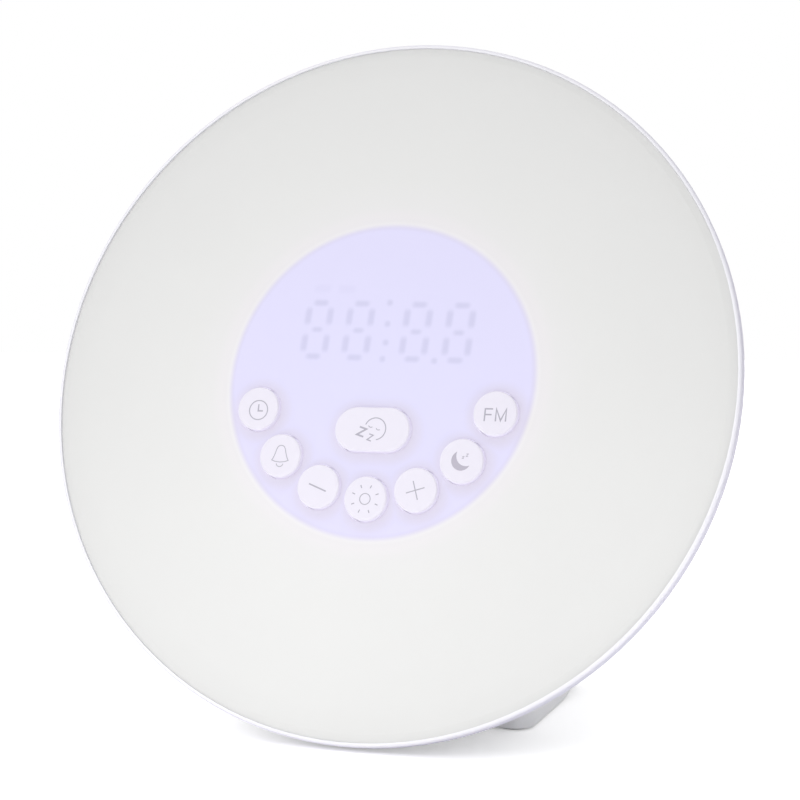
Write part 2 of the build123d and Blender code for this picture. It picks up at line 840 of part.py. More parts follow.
with BuildPart() as back_cover:
    with BuildSketch(upright(cover_front)):
        arch_outline(floor=pod_back_rise)
    extrude(amount=-cover_thickness)
    fillet(back_cover.faces().sort_by(Axis.Y)[-1].edges(), cover_round)
    with BuildSketch(upright(cover_front)):
        lip_inset = pod_wall + cover_lip_clearance
        lip_floor = pod_back_rise + pod_floor + cover_lip_clearance
        arch_outline(lip_inset, lip_floor)
        arch_outline(lip_inset + cover_lip_wall, lip_floor + cover_lip_wall, Mode.SUBTRACT)
        with Locations(*cover_screw_places):
            Circle(pod_boss_radius + cover_lip_clearance, mode=Mode.SUBTRACT)
    extrude(amount=cover_lip_height)
    with BuildSketch(upright(cover_front)):
        with Locations(*ear_places):
            Circle(ear_radius)
        with Locations((0, pod_arch_height)):
            Circle(speaker_radius + gasket_clearance, mode=Mode.SUBTRACT)
    extrude(amount=gasket_thickness)
    with BuildSketch(upright(cover_front)):
        with Locations((battery_x, cell_z)):
            Circle(compartment_radius + compartment_wall)
    extrude(amount=cover_front - compartment_bottom + compartment_floor)
    with BuildSketch(upright(door_pocket)):
        with Locations((battery_x, cell_z)):
            Circle(compartment_radius)
    extrude(amount=door_pocket - compartment_bottom, mode=Mode.SUBTRACT)
    with BuildSketch(upright(cover_back)):
        with Locations((battery_x, cell_z)):
            Rectangle(door_width + 2 * door_gap, door_height + 2 * door_gap)
    extrude(amount=cover_back - door_pocket, mode=Mode.SUBTRACT)
    with BuildSketch(upright(cover_back)):
        with Locations((battery_x, door_low + door_height)):
            Circle(finger_notch_radius)
    extrude(amount=finger_notch_depth, mode=Mode.SUBTRACT)
    hinge_hole_span = door_width + 2 * hinge_length + 4 * door_gap
    with BuildSketch(Plane(origin=(battery_x, hinge_y, hinge_z), x_dir=(0, 1, 0), z_dir=(1, 0, 0))):
        Circle(hinge_radius + hinge_clearance)
    extrude(amount=hinge_hole_span / 2, both=True, mode=Mode.SUBTRACT)
    with BuildSketch(upright(cover_front)):
        with Locations(*grille_places):
            Circle(grille_hole_radius)
        with Locations((io_x, socket_z)):
            SlotOverall(socket_width + 2 * socket_clearance, socket_height + 2 * socket_clearance)
        with Locations((io_x, grommet_height)):
            Circle(grommet_neck_radius + grommet_clearance)
        with Locations(*cover_screw_places):
            Circle(screw_radius + screw_clearance)
    extrude(amount=-cover_thickness, mode=Mode.SUBTRACT)
    with BuildSketch(upright(cover_back)):
        with Locations(*cover_screw_places):
            Circle(screw_head_radius + screw_clearance)
    extrude(amount=cover_screw_recess, mode=Mode.SUBTRACT)
    with BuildSketch(upright(cover_back)):
        with Locations((io_x, grommet_height)):
            Circle(grommet_neck_radius + grommet_flange + grommet_clearance)
    extrude(amount=grommet_flange_thickness, mode=Mode.SUBTRACT)
    with BuildSketch(upright(cover_front - gasket_thickness)):
        with Locations(*ear_places):
            Circle(screw_radius + screw_clearance)
    extrude(amount=-(gasket_thickness + cover_post_hole), mode=Mode.SUBTRACT)
finish(back_cover, "back_cover")

cover_screws = screw_set(
    upright_behind(cover_back - cover_screw_recess),
    cover_screw_places,
    cover_thickness - cover_screw_recess + pod_boss_length - pod_wall - screw_tip_gap,
)
finish(cover_screws, "cover_screws")

with BuildPart() as antenna_grommet:
    with BuildSketch(upright(cover_back)):
        with Locations((io_x, grommet_height)):
            Circle(grommet_neck_radius + grommet_flange)
    extrude(amount=grommet_flange_thickness)
    with BuildSketch(upright(cover_back)):
        with Locations((io_x, grommet_height)):
            Circle(grommet_neck_radius)
    extrude(amount=cover_thickness)
    with BuildSketch(upright(cover_front)):
        with Locations((io_x, grommet_height)):
            Circle(grommet_neck_radius + grommet_flange)
    extrude(amount=grommet_flange_thickness)
    with BuildSketch(upright(cover_back)):
        with Locations((io_x, grommet_height)):
            Circle(grommet_bore)
    extrude(amount=cover_thickness + grommet_flange_thickness, mode=Mode.SUBTRACT)
finish(antenna_grommet, "antenna_grommet")

# Battery door: it turns on two short pins at its low edge, which is round about their axis

with BuildPart() as battery_door:
    door_side = Plane(origin=(battery_x, hinge_y, hinge_z), x_dir=(0, 1, 0), z_dir=(1, 0, 0))
    with BuildSketch(door_side):
        Circle(door_thickness / 2)
        Rectangle(door_thickness, door_height - door_thickness / 2, align=(Align.CENTER, Align.MIN))
    extrude(amount=door_width / 2, both=True)
    with BuildSketch(door_side):
        Circle(hinge_radius)
    extrude(amount=door_width / 2 + hinge_length, both=True)
finish(battery_door, "battery_door")

with BuildPart() as coin_cell:
    with BuildSketch(upright(cell_back)):
        with Locations((battery_x, cell_z)):
            Circle(cell_radius)
    extrude(amount=cell_thickness)
finish(coin_cell, "coin_cell")

with BuildPart() as battery_contacts:
    with BuildSketch(upright(compartment_bottom)):
        with Locations((battery_x, cell_z)):
            Rectangle(contact_width, contact_length)
    extrude(amount=-contact_thickness)
    with BuildSketch(upright(compartment_bottom)):
        with Locations((battery_x, cell_z)):
            Circle(contact_dome_radius)
    extrude(amount=-(contact_room - contact_gap))
    with BuildSketch(upright(compartment_bottom)):
        with Locations((battery_x, cell_z + compartment_radius - side_contact_gap)):
            Rectangle(side_contact_width, contact_thickness, align=(Align.CENTER, Align.MAX))
    extrude(amount=-(contact_room + cell_thickness))
finish(battery_contacts, "battery_contacts")

# Power and radio board, on four bosses of the pod's floor

with BuildPart() as power_board:
    with BuildSketch(Plane.XY.offset(io_board_base)):
        with Locations((io_x, (io_front + io_back) / 2)):
            Rectangle(io_width, io_length)
        with Locations(*io_screw_places):
            Circle(screw_radius + screw_clearance, mode=Mode.SUBTRACT)
    extrude(amount=board_thickness)
finish(power_board, "power_board")

io_board_top = io_board_base + board_thickness
power_board_screws = screw_set(
    Plane.XY.offset(io_board_top), io_screw_places, board_thickness + io_screw_depth
)
finish(power_board_screws, "power_board_screws")

with BuildPart() as power_socket:
    socket_mouth = cover_back - socket_recess
    with BuildSketch(upright(socket_mouth)):
        with Locations((io_x, socket_z)):
            SlotOverall(socket_width, socket_height)
    extrude(amount=socket_length)
    with BuildSketch(upright(socket_mouth)):
        with Locations((io_x, socket_z)):
            SlotOverall(socket_width - 2 * socket_wall, socket_height - 2 * socket_wall)
    extrude(amount=socket_length - socket_floor, mode=Mode.SUBTRACT)
    with BuildSketch(upright(socket_mouth - socket_length + socket_floor)):
        with Locations((io_x, socket_z)):
            Rectangle(tongue_width, tongue_thickness)
    extrude(amount=-tongue_length)
finish(power_socket, "power_socket")

with BuildPart() as power_board_chips:
    with BuildSketch(Plane.XY.offset(io_board_top)):
        with Locations((io_x + tuner_chip_place[0], io_front + tuner_chip_place[1])):
            Rectangle(tuner_chip_size, tuner_chip_size)
        with Locations((io_x + amplifier_chip_place[0], io_front + amplifier_chip_place[1])):
            Rectangle(amplifier_chip_size, amplifier_chip_size)
    extrude(amount=chip_height)
finish(power_board_chips, "power_board_chips")

# Loudspeaker. Its section plane: x is the radius, y the depth in front of the flange's seat.

speaker_seat = cover_front - gasket_thickness
speaker_section = Plane(origin=(0, speaker_seat, pod_arch_height), x_dir=(1, 0, 0), z_dir=(0, 0, -1))
speaker_axis = Axis((0, speaker_seat, pod_arch_height), (0, 1, 0))
flange_inner = speaker_radius - basket_ring
roll_centre = flange_inner - surround_gap - surround_roll
cone_radius = roll_centre - surround_roll - cone_gap
coil_radius = cone_neck_radius - coil_gap
terminal_top = pod_arch_height - basket_back_radius

with BuildPart() as speaker_gasket:
    with BuildSketch(upright(cover_front)):
        with Locations((0, pod_arch_height)):
            Circle(speaker_radius)
            Circle(speaker_radius - gasket_width, mode=Mode.SUBTRACT)
    extrude(amount=gasket_thickness)
finish(speaker_gasket, "speaker_gasket")

with BuildPart() as speaker_basket:
    with BuildSketch(speaker_section):
        with BuildLine():
            Polyline(
                (speaker_radius, 0),
                (speaker_radius, speaker_flange_thickness),
                (flange_inner + basket_wall, speaker_flange_thickness),
                (flange_inner + basket_wall, basket_step),
                (basket_back_radius + basket_wall, speaker_depth),
                (basket_opening, speaker_depth),
                (basket_opening, speaker_depth - basket_wall),
                (basket_back_radius, speaker_depth - basket_wall),
                (flange_inner, basket_step),
                (flange_inner, 0),
                close=True,
            )
        make_face()
    revolve(axis=speaker_axis)
    with BuildSketch(upright(speaker_seat)):
        with Locations(*ear_places):
            Circle(ear_radius)
    extrude(amount=speaker_flange_thickness)
    with BuildSketch(upright(speaker_seat - speaker_depth)):
        with Locations((0, terminal_top)):
            Rectangle(terminal_width, terminal_length + basket_wall, align=(Align.CENTER, Align.MAX))
    extrude(amount=-basket_wall)
    with BuildSketch(upright(speaker_seat)):
        with Locations(*ear_places):
            Circle(screw_radius + screw_clearance)
    extrude(amount=speaker_flange_thickness, mode=Mode.SUBTRACT)
finish(speaker_basket, "speaker_basket")

speaker_screws = screw_set(
    upright(speaker_seat - speaker_flange_thickness),
    ear_places,
    speaker_flange_thickness + gasket_thickness + cover_post_hole - screw_tip_gap,
)
finish(speaker_screws, "speaker_screws")

with BuildPart() as speaker_magnet:
    pole_radius = coil_radius - coil_wall - coil_clearance
    gap_radius = coil_radius + coil_clearance
    plate_back = speaker_depth + magnet_plate
    magnet_back = plate_back + magnet_thickness
    with BuildSketch(speaker_section):
        with BuildLine():
            Polyline(
                (0, speaker_depth),
                (pole_radius, speaker_depth),
                (pole_radius, magnet_back),
                (magnet_inner_radius, magnet_back),
                (magnet_inner_radius, plate_back),
                (gap_radius, plate_back),
                (gap_radius, speaker_depth),
                (basket_back_radius, speaker_depth),
                (basket_back_radius, plate_back),
                (magnet_radius, plate_back),
                (magnet_radius, magnet_back + magnet_plate),
                (0, magnet_back + magnet_plate),
                close=True,
            )
        make_face()
    revolve(axis=speaker_axis)
finish(speaker_magnet, "speaker_magnet")

with BuildPart() as speaker_cone:
    with BuildSketch(speaker_section):
        with BuildLine():
            Polyline(
                (cone_radius, 0),
                (cone_radius, cone_thickness),
                (cone_neck_radius, cone_depth + cone_thickness),
                (cone_neck_radius, cone_depth),
                close=True,
            )
        make_face()
    revolve(axis=speaker_axis)
finish(speaker_cone, "speaker_cone")

with BuildPart() as dust_cap:
    cone_slope = cone_depth / (cone_radius - cone_neck_radius)
    cap_base = (cone_radius - dust_cap_radius) * cone_slope - coil_gap
    cap_sphere = (dust_cap_radius**2 + dust_cap_rise**2) / (2 * dust_cap_rise)
    cap_top = cap_base - dust_cap_rise
    with BuildSketch(speaker_section):
        with Locations((0, cap_top + cap_sphere)):
            Circle(cap_sphere)
            Circle(cap_sphere - cone_thickness, mode=Mode.SUBTRACT)
        with Locations((0, cap_top)):
            Rectangle(
                dust_cap_radius, dust_cap_rise, align=(Align.MIN, Align.MIN), mode=Mode.INTERSECT
            )
    revolve(axis=speaker_axis)
finish(dust_cap, "dust_cap")

with BuildPart() as voice_coil:
    with BuildSketch(speaker_section):
        with Locations((coil_radius - coil_wall, cone_depth)):
            Rectangle(coil_wall, coil_length, align=(Align.MIN, Align.MIN))
    revolve(axis=speaker_axis)
finish(voice_coil, "voice_coil")

with BuildPart() as speaker_surround:
    with BuildSketch(speaker_section):
        with Locations((roll_centre, 0)):
            Circle(surround_roll)
            Circle(surround_roll - surround_thickness, mode=Mode.SUBTRACT)
            Rectangle(
                2 * surround_roll, surround_roll, align=(Align.CENTER, Align.MAX), mode=Mode.SUBTRACT
            )
        with Locations((roll_centre + surround_roll - surround_thickness, 0)):
            Rectangle(surround_foot, surround_thickness, align=(Align.MIN, Align.MAX))
        with Locations((roll_centre - surround_roll + surround_thickness, 0)):
            Rectangle(surround_inner_foot, surround_thickness, align=(Align.MAX, Align.MAX))
    revolve(axis=speaker_axis)
finish(speaker_surround, "speaker_surround")

# Cables between the boards and to the loudspeaker

ribbon_io_y = io_front + ribbon_io_inset
lead_header_y = io_front + lead_header_inset
ribbon_start = at_depth(board_back + header_height).from_local_coords(Vector(io_x, -ribbon_drop, 0))
ribbon_run = (ribbon_io_y - ribbon_start.Y) / tilt_cos
ribbon_turn = ribbon_start - face_normal * ribbon_run
header_top = io_board_top + header_height
battery_header_y = io_back - battery_header_inset
ring_header_radius = dam_radius - ring_header_inset

with BuildPart() as board_headers:
    with BuildSketch(at_depth(board_back)):
        with Locations((io_x, -ribbon_drop)):
            Rectangle(header_width, header_depth)
    extrude(amount=-header_height)
    with BuildSketch(at_depth(board_back)):
        with Locations(*on_circle(ring_header_radius, (ring_cable_angle,))):
            Rectangle(lead_header_depth, ring_header_width, rotation=ring_cable_angle)
    extrude(amount=-ring_header_height)
    with BuildSketch(Plane.XY.offset(io_board_top)):
        with Locations((io_x, ribbon_io_y)):
            Rectangle(header_width, header_depth)
        with Locations((io_x + lead_header_x, lead_header_y)):
            Rectangle(lead_header_width, lead_header_depth)
        with Locations((io_x + battery_header_x, battery_header_y)):
            Rectangle(lead_header_depth, battery_header_length)
    extrude(amount=header_height)
finish(board_headers, "cable_headers")

with BuildPart() as ribbon_cable:
    with BuildLine() as ribbon_route:
        FilletPolyline(
            ribbon_start, ribbon_turn, (io_x, ribbon_io_y, header_top), radius=ribbon_bend
        )
    with BuildSketch(Plane(origin=ribbon_route.line @ 0, x_dir=(1, 0, 0), z_dir=ribbon_route.line % 0)):
        Rectangle(ribbon_width, ribbon_thickness)
    sweep()
finish(ribbon_cable, "ribbon_cable")

# The ring board's cable lies in a radial plane of the disc: a point is (radius, -depth)
ring_turn = radians(ring_cable_angle)
ring_direction = face_plane.x_dir * cos(ring_turn) + face_plane.y_dir * sin(ring_turn)
ring_section = Plane(
    origin=face_centre, x_dir=ring_direction, z_dir=ring_direction.cross(face_normal)
)

with BuildPart() as ring_cable:
    with BuildLine(ring_section) as ring_route:
        FilletPolyline(
            (ring_header_radius, -(board_back + ring_header_height)),
            (ring_header_radius, -ring_cable_depth),
            (ring_board_inner + ring_cable_reach, -ring_cable_depth),
            (ring_board_inner + ring_cable_reach, -ring_board_back),
            radius=ring_cable_bend,
        )
    with BuildSketch(Plane(origin=ring_route.line @ 0, x_dir=ring_section.z_dir, z_dir=ring_route.line % 0)):
        Rectangle(ring_cable_width, ribbon_thickness)
    sweep()
finish(ring_cable, "ring_cable")

terminal_y = speaker_seat - speaker_depth + basket_wall / 2
terminal_z = terminal_top - terminal_length - basket_wall
leads = []
for side in (-1, 1):
    start_x = io_x + lead_header_x + side * lead_spacing / 2
    end_x = side * lead_spacing / 2
    with BuildPart() as lead:
        with BuildLine() as lead_route:
            FilletPolyline(
                (start_x, lead_header_y, header_top),
                (start_x, lead_header_y, header_top + lead_rise),
                (end_x, terminal_y, terminal_z - lead_drop),
                (end_x, terminal_y, terminal_z),
                radius=lead_bend,
            )
        with BuildSketch(Plane(origin=lead_route.line @ 0, z_dir=lead_route.line % 0)):
            Circle(lead_radius)
        sweep()
    leads.append(lead.part)

with BuildPart() as speaker_leads:
    add(leads)
finish(speaker_leads, "speaker_leads")

leads = []
for side in (-1, 1):
    start_x = io_x + battery_header_x
    lead_y = battery_header_y + side * battery_lead_spacing / 2
    with BuildPart() as lead:
        with BuildLine() as lead_route:
            FilletPolyline(
                (start_x, lead_y, header_top),
                (start_x, lead_y, cell_z),
                (battery_x - compartment_radius - compartment_wall, lead_y, cell_z),
                radius=battery_lead_bend,
            )
        with BuildSketch(Plane(origin=lead_route.line @ 0, z_dir=lead_route.line % 0)):
            Circle(lead_radius)
        sweep()
    leads.append(lead.part)

with BuildPart() as battery_leads:
    add(leads)
finish(battery_leads, "battery_leads")
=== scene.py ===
import json
from math import atan2, cos, radians, sin, sqrt, tau

import bmesh
import bpy
from mathutils import Matrix, Vector


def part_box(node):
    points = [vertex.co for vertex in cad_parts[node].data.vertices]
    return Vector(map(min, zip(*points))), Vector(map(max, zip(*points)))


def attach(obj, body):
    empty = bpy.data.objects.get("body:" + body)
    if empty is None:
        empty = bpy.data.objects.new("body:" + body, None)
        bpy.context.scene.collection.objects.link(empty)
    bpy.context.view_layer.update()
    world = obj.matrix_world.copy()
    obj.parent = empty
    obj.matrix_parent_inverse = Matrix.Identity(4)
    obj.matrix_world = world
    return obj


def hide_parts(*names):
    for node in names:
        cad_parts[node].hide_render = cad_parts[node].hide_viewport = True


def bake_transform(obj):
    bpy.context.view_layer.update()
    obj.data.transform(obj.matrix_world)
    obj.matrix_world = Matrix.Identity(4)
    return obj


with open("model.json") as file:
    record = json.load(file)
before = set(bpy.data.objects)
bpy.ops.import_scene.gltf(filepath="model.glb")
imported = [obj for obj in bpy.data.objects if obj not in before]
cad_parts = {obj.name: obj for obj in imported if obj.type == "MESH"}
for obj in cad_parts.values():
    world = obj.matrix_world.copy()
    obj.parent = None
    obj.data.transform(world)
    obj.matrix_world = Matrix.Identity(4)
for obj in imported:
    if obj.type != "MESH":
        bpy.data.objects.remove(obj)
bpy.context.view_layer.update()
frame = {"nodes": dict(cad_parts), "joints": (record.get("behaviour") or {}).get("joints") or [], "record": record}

# Sunrise alarm clock: an opal disc of light that leans back on a speaker pod.
# The scene is in metres. Sizes in the dictionaries are millimetres and angles are degrees.

mm = 0.001
white = (1, 1, 1, 1)
scene = bpy.context.scene


# An sRGB hex value as linear red, green, blue and alpha, by the sRGB standard's own curve
def linear(hexColour):
    parts = [int(hexColour[i:i + 2], 16) / 255 for i in (1, 3, 5)]
    return [p / 12.92 if p <= 0.04045 else ((p + 0.055) / 1.055) ** 2.4 for p in parts] + [1.0]


# Adds one shader node. inputs maps a socket's name or number to a value or to another node's
# output, and stops are the places and colours of a colour ramp.
def addNode(tree, kind, inputs=None, stops=(), **settings):
    node = tree.nodes.new("ShaderNode" + kind)
    for name, value in settings.items():
        setattr(node, name, value)
    for socket, value in (inputs or {}).items():
        if isinstance(value, bpy.types.NodeSocket):
            tree.links.new(value, node.inputs[socket])
        else:
            node.inputs[socket].default_value = value
    for i, (place, colour) in enumerate(stops):
        element = node.color_ramp.elements[i] if i < 2 else node.color_ramp.elements.new(place)
        element.position = place
        element.color = colour
    return node


# Turns a finished bmesh into an object with one material
def finishMesh(bm, name, material):
    mesh = bpy.data.meshes.new(name)
    bm.to_mesh(mesh)
    bm.free()
    mesh.materials.append(material)
    made = bpy.data.objects.new(name, mesh)
    scene.collection.objects.link(made)
    return made


print("stage 1: camera, light and floor")

camera = {
    "place": (139.34, -400.02, 99.6),
    "turn": (86.986, 0.0, 19.421),
    "lens": 77.355,
    "sensor": 36.0,
    "clipStart": 10,
}
cameraData = bpy.data.cameras.new("camera")
cameraData.lens = camera["lens"]
cameraData.sensor_width = camera["sensor"]
cameraData.clip_start = camera["clipStart"] * mm
cameraObject = bpy.data.objects.new("camera", cameraData)
cameraObject.location = Vector(camera["place"]) * mm
cameraObject.rotation_euler = [radians(angle) for angle in camera["turn"]]
scene.collection.objects.link(cameraObject)
scene.camera = cameraObject

scene.view_settings.view_transform = "Standard"

# A large soft lamp from the upper left, and two small ones that brighten the disc's lower edge
lamps = {
    "keyLamp": {"place": (-400, -900, 700), "aim": (0, 0, 80), "size": 600, "watts": 2.0},
    "lowLamp": {"place": (-40, -165, 20), "aim": (-15, -40, 16), "size": 140, "watts": 0.059},
    "sideLamp": {"place": (150, -95, 14), "aim": (32, -12, 8), "size": 80, "watts": 0.036},
}
for name, lamp in lamps.items():
    place, aim = Vector(lamp["place"]), Vector(lamp["aim"])
    lampData = bpy.data.lights.new(name, "AREA")
    lampData.shape = "DISK"
    lampData.size = lamp["size"] * mm
    lampData.energy = lamp["watts"]
    lampObject = bpy.data.objects.new(name, lampData)
    lampObject.visible_camera = False
    lampObject.location = place * mm
    lampObject.rotation_euler = (aim - place).to_track_quat("-Z", "Y").to_euler()
    scene.collection.objects.link(lampObject)

# Colours of the studio by direction. Each fade covers the ones before it, from its start to its
# end along one axis of a unit vector: 0 is x, 1 is y and 2 is z.
surroundings = {
    "front": "#D9D9D9",
    "fades": [
        {"axis": 1, "start": -0.3, "end": 0.7, "colour": "#C8C8CA"},      # behind
        {"axis": 0, "start": 0.2, "end": 0.8, "colour": "#24242C"},       # at the right
        {"axis": 2, "start": 0.35, "end": 0.85, "colour": "#FFFFFF"},     # above
    ],
    "strength": 1.2,
}


# 1 for rays that see the background itself: from the camera, in a gloss or through glass
def backgroundRay(tree):
    path = addNode(tree, "LightPath")
    seen = path.outputs["Is Camera Ray"]
    for ray in ("Is Glossy Ray", "Is Transmission Ray"):
        seen = addNode(tree, "Math", {0: seen, 1: path.outputs[ray]},
                       operation="MAXIMUM").outputs[0]
    return seen


world = bpy.data.worlds.new("whiteStudio")
world.use_nodes = True
scene.world = world
worldTree = world.node_tree
worldTree.nodes.clear()
generated = addNode(worldTree, "TexCoord").outputs["Generated"]
direction = addNode(worldTree, "SeparateXYZ", {0: generated})
colour = linear(surroundings["front"])
for fade in surroundings["fades"]:
    share = addNode(worldTree, "MapRange", {
        0: direction.outputs[fade["axis"]], 1: fade["start"], 2: fade["end"],
    }, interpolation_type="SMOOTHSTEP").outputs[0]
    colour = addNode(worldTree, "Mix", {0: share, 6: colour, 7: linear(fade["colour"])},
                     data_type="RGBA").outputs[2]
soft = addNode(worldTree, "Background", {"Color": colour, "Strength": surroundings["strength"]})
bright = addNode(worldTree, "Background", {"Color": white, "Strength": 1.0})
studio = addNode(worldTree, "MixShader", {
    0: backgroundRay(worldTree), 1: soft.outputs[0], 2: bright.outputs[0],
})
addNode(worldTree, "OutputWorld", {"Surface": studio.outputs[0]})

paperFloor = {
    "size": 6000,
    "colour": "#FEFEFE",
    "lift": 0.33,                 # light added where the background is seen
}


# Matt white paper. Where the background is seen it is lifted to white, and the shadow stays.
def makeFloor():
    material = bpy.data.materials.new("whitePaper")
    material.use_nodes = True
    tree = material.node_tree
    tree.nodes.clear()
    paper = addNode(tree, "BsdfDiffuse", {"Color": linear(paperFloor["colour"])})
    lift = addNode(tree, "Emission", {"Strength": paperFloor["lift"]})
    lifted = addNode(tree, "AddShader", {0: paper.outputs[0], 1: lift.outputs[0]})
    mixed = addNode(tree, "MixShader", {
        0: backgroundRay(tree), 1: paper.outputs[0], 2: lifted.outputs[0],
    })
    addNode(tree, "OutputMaterial", {"Surface": mixed.outputs[0]})
    bm = bmesh.new()
    bmesh.ops.create_grid(bm, x_segments=1, y_segments=1, size=paperFloor["size"] / 2 * mm)
    floor = finishMesh(bm, "floor", material)


makeFloor()

print("stage 2: the disc's own frame")

# x runs to the right, y up the face and z out of it. The keys' travel gives the face's direction.
pressJoint = next(joint for joint in frame["joints"] if joint["name"] == "sun_key_press")
xAxis = Vector((1, 0, 0))
faceNormal = -Vector(pressJoint["axis"]).normalized()
faceUp = faceNormal.cross(xAxis)


# Middle of a node's front, in metres: half-way across and up, and at its frontmost point
def frontOf(node):
    points = [v.co for v in frame["nodes"][node].data.vertices]
    across, up, out = [[p.dot(axis) for p in points] for axis in (xAxis, faceUp, faceNormal)]
    return (
        xAxis * (min(across) + max(across)) / 2
        + faceUp * (min(up) + max(up)) / 2
        + faceNormal * max(out)
    )


faceTurn = Matrix((xAxis, faceUp, faceNormal)).transposed()
faceCentre = frontOf("front_panel")

print("stage 3: materials")


# 0 on a surface that faces out of the disc and 1 on a wall across it
def wallShare(tree):
    normal = addNode(tree, "NewGeometry").outputs["Normal"]
    facing = addNode(tree, "VectorMath", {0: normal, 1: faceNormal},
                     operation="DOT_PRODUCT").outputs["Value"]
    facing = addNode(tree, "Math", {0: facing}, operation="ABSOLUTE").outputs[0]
    return addNode(tree, "Math", {0: 1.0, 1: facing}, operation="SUBTRACT").outputs[0]


# Where a point lies on the face: to the right and up from its middle, in millimetres
def facePlace(tree):
    place = addNode(tree, "TexCoord").outputs["Object"]
    inDisc = addNode(tree, "Mapping", {
        "Vector": place, "Location": faceCentre, "Rotation": faceTurn.to_euler(),
        "Scale": (mm, mm, mm),
    }, vector_type="TEXTURE").outputs[0]
    return addNode(tree, "VectorMath", {0: inDisc, 1: (1, 1, 0)}, operation="MULTIPLY").outputs[0]


# Dims a colour or a light by tints, each of which comes in with its own share
def tinted(tree, colour, tints):
    for share, tint in tints:
        shade = addNode(tree, "Mix", {0: share, 6: white, 7: tint}, data_type="RGBA").outputs[2]
        colour = addNode(tree, "VectorMath", {0: colour, 1: shade},
                         operation="MULTIPLY").outputs[0]
    return colour


# A moulded, cast or woven surface: two near colours, gloss and relief that all follow one fine
# grain. A pattern, where there is one, adds bands or cells of its own colour and height.
# cloud and grain are the sizes of the two, and a stretch below 1 draws the grain out that way.
def grained(name, look, constants):
    material = bpy.data.materials.new(name)
    material.use_nodes = True
    tree = material.node_tree
    shader = tree.nodes["Principled BSDF"]
    for socket, value in constants.items():
        shader.inputs[socket].default_value = value
    place = addNode(tree, "TexCoord").outputs["Object"]
    stretched = addNode(tree, "Mapping", {
        "Vector": place, "Scale": look.get("stretch", (1, 1, 1)),
    }).outputs[0]
    cloud = addNode(tree, "TexNoise", {
        "Vector": place, "Scale": 1 / (look["cloud"] * mm), "Detail": 3.0,
    }).outputs[0]
    grain = addNode(tree, "TexNoise", {
        "Vector": stretched, "Scale": 1 / (look["grain"] * mm), "Detail": 2.0,
    }).outputs[0]
    first, second = [linear(colour) for colour in look["colours"]]
    colour = addNode(tree, "Mix", {0: cloud, 6: first, 7: second}, data_type="RGBA").outputs[2]
    height = grain
    if "pattern" in look:
        pattern = look["pattern"]
        period = tau / 20 if pattern["kind"] == "TexWave" else 1     # of one repeat, at a scale of 1
        drawn = addNode(tree, pattern["kind"], {
            "Vector": place, "Scale": period / (pattern["spacing"] * mm), **pattern["inputs"],
        }, **pattern["settings"])
        start, end = pattern["edges"]
        mask = addNode(tree, "MapRange", {0: drawn.outputs[pattern["output"]], 1: start, 2: end},
                       interpolation_type="SMOOTHSTEP").outputs[0]
        colour = addNode(tree, "Mix", {0: mask, 6: colour, 7: linear(pattern["colour"])},
                         data_type="RGBA").outputs[2]
        height = addNode(tree, "Math", {0: mask, 1: pattern["depth"], 2: height},
                         operation="MULTIPLY_ADD").outputs[0]
    smoothest, roughest = look["roughness"]
    gloss = addNode(tree, "MapRange", {0: grain, 3: smoothest, 4: roughest}).outputs[0]
    bump = addNode(tree, "Bump", {
        "Height": height, "Strength": look["bump"], "Distance": look["grain"] * mm,
    }).outputs[0]
    tree.links.new(colour, shader.inputs["Base Color"])
    tree.links.new(gloss, shader.inputs["Roughness"])
    tree.links.new(bump, shader.inputs["Normal"])
    return material


# Satin white ABS, moulded against a finely eroded tool: a soft sheen, cool white
absLook = {
    "colours": ("#EAEAEC", "#E7E7EA"), "cloud": 30, "grain": 0.5, "roughness": (0.36, 0.44),
    "bump": 0.06,
}
absConstants = {"IOR": 1.53}

rim = {
    "colours": ("#E9E9EC", "#E6E6EA"),
    "start": 83.9,                # radius from which the rim's painted tint and shade start
    "end": 84.3,                  # and where they are full
    # On the lip a faint painted lavender tint, on the outer wall painted shade
    "lipPaintedTint": (0.97, 0.96, 0.985, 1),
    "wallPaintedShade": (0.70, 0.68, 0.79, 1),
}


# A shaded copy of the same ABS for the thin rim: a faint painted lavender tint on its lip, and painted shade that
# makes its outer wall greyer
def makeRimAbsPaintedShade():
    material = grained("satinAbsRimPaintedShade", {**absLook, "colours": rim["colours"]}, absConstants)
    tree = material.node_tree
    baseColour = tree.nodes["Principled BSDF"].inputs["Base Color"]
    reach = addNode(tree, "VectorMath", {0: facePlace(tree)}, operation="LENGTH").outputs["Value"]
    outer = addNode(tree, "MapRange", {0: reach, 1: rim["start"], 2: rim["end"]}).outputs[0]
    rimPaintedShade = addNode(tree, "Mix", {0: wallShare(tree), 6: rim["lipPaintedTint"], 7: rim["wallPaintedShade"]},
                      data_type="RGBA").outputs[2]
    ownColour = baseColour.links[0].from_socket
    tree.links.new(tinted(tree, ownColour, [(outer, rimPaintedShade)]), baseColour)
    return material


# Opal acrylic sheet, matt front, lit from behind in its middle. The digits' unlit segments
# show through it as soft darker marks.
display = {
    "middle": (0.22, 0.15),       # the light's edge lies behind the face, so it seems shifted
    "radius": 38.1,
    "edge": 0.8,                  # half the width in which the light fades
    "colour": "#BAB7CB",
    "glow": [                     # radius from that middle, light that shines through
        (0.0, (0.163, 0.166, 0.254)),
        (36.8, (0.166, 0.162, 0.250)),
        (38.2, (0.115, 0.100, 0.130)),
        (39.3, (0.072, 0.055, 0.082)),
        (40.4, (0.075, 0.057, 0.080)),
        (43.0, (0.055, 0.050, 0.059)),
        (50.0, (0.042, 0.042, 0.042)),
        (66.0, (0.030, 0.030, 0.030)),
        (76.0, (0.022, 0.022, 0.022)),
        (83.2, (0.0, 0.0, 0.0)),
    ],
    "glowReach": 85.0,
    "wallGlow": 0.3,              # light that leaves through the walls of the holes and the rim
    # Painted shadow of the keys, dimming the glow around them
    "keyPaintedShadow": (0.80, 0.68, 0.42, 1),
    "shadeShift": (0.5, -0.7),    # the painted shadow lies to the lower right
    "shadeStart": 4.5,            # from a key's middle
    "shadeEnd": 9.5,
}
